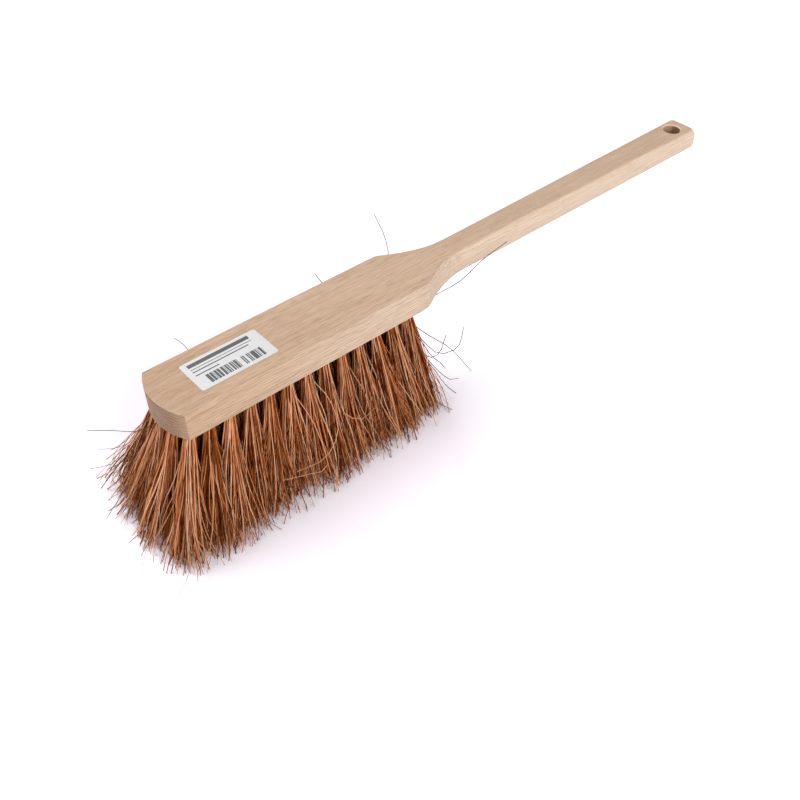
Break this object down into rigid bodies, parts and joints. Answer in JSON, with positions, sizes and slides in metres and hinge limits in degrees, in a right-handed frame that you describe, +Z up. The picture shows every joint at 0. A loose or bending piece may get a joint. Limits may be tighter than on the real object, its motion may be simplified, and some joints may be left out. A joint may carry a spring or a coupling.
{
  "type": "hand broom",
  "caption": "Hand broom with a one-piece beech head and long rounded handle, rows of splayed coir tufts set in drilled holes, a plain paper label and a hang hole.",
  "frame": {"origin": "on the floor that the bristles stand on, under the middle of the whole broom's box", "axes": "+X along the broom from the curved nose to the handle's end, +Y to the right for the hand that holds it, +Z up through the top of the head"},
  "size_m": [0.49, 0.0874, 0.0891],
  "materials": {
    "beech": "matte",
    "coir": "matte",
    "staple_wire": "satin",
    "label_paper": "satin"
  },
  "bodies": {
    "root": {"stock": "beech", "label": "label_paper", "staples": "staple_wire", "tuft_left_outer_01": "coir", "tuft_left_outer_02": "coir", "tuft_left_outer_03": "coir", "tuft_left_outer_04": "coir", "tuft_left_outer_05": "coir", "tuft_left_outer_06": "coir", "tuft_left_outer_07": "coir", "tuft_left_outer_08": "coir", "tuft_left_outer_09": "coir", "tuft_left_outer_10": "coir", "tuft_left_outer_11": "coir", "tuft_left_outer_12": "coir", "tuft_left_outer_13": "coir", "tuft_left_inner_01": "coir", "tuft_left_inner_02": "coir", "tuft_left_inner_03": "coir", "tuft_left_inner_04": "coir", "tuft_left_inner_05": "coir", "tuft_left_inner_06": "coir", "tuft_left_inner_07": "coir", "tuft_left_inner_08": "coir", "tuft_left_inner_09": "coir", "tuft_left_inner_10": "coir", "tuft_left_inner_11": "coir", "tuft_left_inner_12": "coir", "tuft_left_inner_13": "coir", "tuft_right_inner_01": "coir", "tuft_right_inner_02": "coir", "tuft_right_inner_03": "coir", "tuft_right_inner_04": "coir", "tuft_right_inner_05": "coir", "tuft_right_inner_06": "coir", "tuft_right_inner_07": "coir", "tuft_right_inner_08": "coir", "tuft_right_inner_09": "coir", "tuft_right_inner_10": "coir", "tuft_right_inner_11": "coir", "tuft_right_inner_12": "coir", "tuft_right_inner_13": "coir", "tuft_right_outer_01": "coir", "tuft_right_outer_02": "coir", "tuft_right_outer_03": "coir", "tuft_right_outer_04": "coir", "tuft_right_outer_05": "coir", "tuft_right_outer_06": "coir", "tuft_right_outer_07": "coir", "tuft_right_outer_08": "coir", "tuft_right_outer_09": "coir", "tuft_right_outer_10": "coir", "tuft_right_outer_11": "coir", "tuft_right_outer_12": "coir", "tuft_right_outer_13": "coir"}
  },
  "joints": []
}
